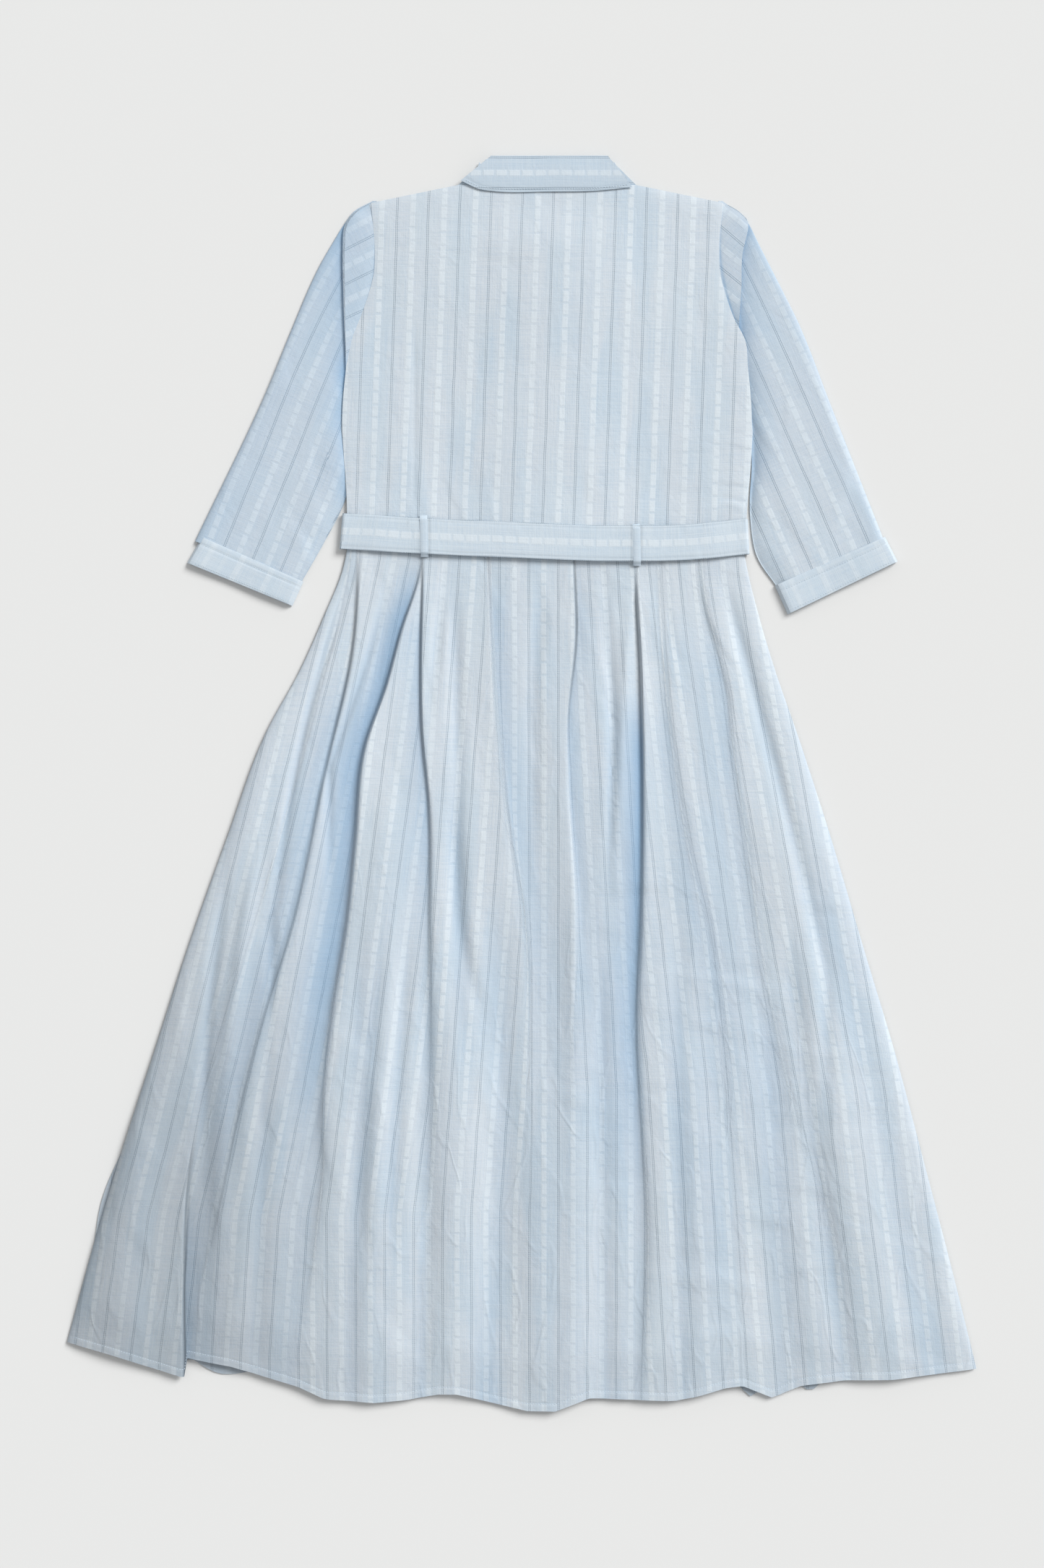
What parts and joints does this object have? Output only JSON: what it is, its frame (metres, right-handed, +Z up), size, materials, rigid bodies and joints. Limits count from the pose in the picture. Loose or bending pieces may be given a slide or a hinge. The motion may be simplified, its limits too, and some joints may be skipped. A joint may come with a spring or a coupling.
{
  "type": "shirt dress",
  "caption": "Long shirt dress in striped cotton, laid face down: folded collar, elbow-length cuffed sleeves, looped fabric belt and a pleated, flared skirt.",
  "frame": {"origin": "under the middle of the laid-out garment's outline, on the surface it rests on", "axes": "+X to the right as seen from above, +Y towards the collar, +Z up, away from the surface; the garment lies face down with its back upwards"},
  "size_m": [0.981, 1.3536, 0.0167],
  "materials": {
    "dress_cloth": "matte",
    "faced_cloth": "matte",
    "belt_cloth": "matte",
    "button": "gloss"
  },
  "bodies": {
    "bodice": {"back_bodice": "dress_cloth", "front_bodice_left": "dress_cloth", "front_bodice_right": "dress_cloth", "left_sleeve_head": "dress_cloth", "right_sleeve_head": "dress_cloth", "back_skirt_upper": "dress_cloth", "front_skirt_upper": "dress_cloth", "buttonhole_placket": "faced_cloth", "button_placket": "faced_cloth", "collar_stand": "faced_cloth", "collar_point_left": "faced_cloth", "collar_point_right": "faced_cloth", "stand_wing_left": "faced_cloth", "stand_wing_right": "faced_cloth", "belt_loop_left": "belt_cloth", "belt_loop_right": "belt_cloth"},
    "collar": {"collar_leaf": "faced_cloth"},
    "left_arm": {"left_sleeve": "dress_cloth", "left_cuff": "faced_cloth"},
    "right_arm": {"right_sleeve": "dress_cloth", "right_cuff": "faced_cloth"},
    "lower_skirt": {"back_skirt_lower": "dress_cloth", "front_skirt_lower": "dress_cloth"},
    "belt_strap": {"belt": "belt_cloth"},
    "button_body_1": {"button_1": "button"},
    "button_body_2": {"button_2": "button"},
    "button_body_3": {"button_3": "button"},
    "button_body_4": {"button_4": "button"},
    "button_body_5": {"button_5": "button"},
    "button_body_6": {"button_6": "button"}
  },
  "joints": [
    {"name": "belt_slide", "type": "slide", "parent": "bodice", "child": "belt_strap", "axis": [1, 0, 0], "range_m": [-0.003, 0.003]},
    {"name": "collar_turn", "type": "hinge", "parent": "bodice", "child": "collar", "pos_m": [0.027, 0.6773, 0.0056], "axis": [-1, 0, 0], "range_deg": [0, 179]},
    {"name": "left_sleeve_fold", "type": "hinge", "parent": "bodice", "child": "left_arm", "pos_m": [-0.199, 0.445, 0.01], "axis": [0, 1, 0], "range_deg": [0, 179]},
    {"name": "right_sleeve_fold", "type": "hinge", "parent": "bodice", "child": "right_arm", "pos_m": [0.253, 0.445, 0.01], "axis": [0, -1, 0], "range_deg": [0, 179]},
    {"name": "skirt_fold", "type": "hinge", "parent": "bodice", "child": "lower_skirt", "pos_m": [0, -0.262, 0.0185], "axis": [-1, 0, 0], "range_deg": [0, 179]},
    {"name": "thread_swivel_1", "type": "hinge", "parent": "bodice", "child": "button_body_1", "pos_m": [0.027, 0.5562, 0.001], "axis": [0, 0, 1], "range_deg": [-25, 25]},
    {"name": "thread_swivel_2", "type": "hinge", "parent": "bodice", "child": "button_body_2", "pos_m": [0.027, 0.5062, 0.001], "axis": [0, 0, 1], "range_deg": [-25, 25]},
    {"name": "thread_swivel_3", "type": "hinge", "parent": "bodice", "child": "button_body_3", "pos_m": [0.027, 0.4562, 0.001], "axis": [0, 0, 1], "range_deg": [-25, 25]},
    {"name": "thread_swivel_4", "type": "hinge", "parent": "bodice", "child": "button_body_4", "pos_m": [0.027, 0.4062, 0.001], "axis": [0, 0, 1], "range_deg": [-25, 25]},
    {"name": "thread_swivel_5", "type": "hinge", "parent": "bodice", "child": "button_body_5", "pos_m": [0.027, 0.3562, 0.001], "axis": [0, 0, 1], "range_deg": [-25, 25]},
    {"name": "thread_swivel_6", "type": "hinge", "parent": "bodice", "child": "button_body_6", "pos_m": [0.027, 0.3062, 0.001], "axis": [0, 0, 1], "range_deg": [-25, 25]}
  ]
}
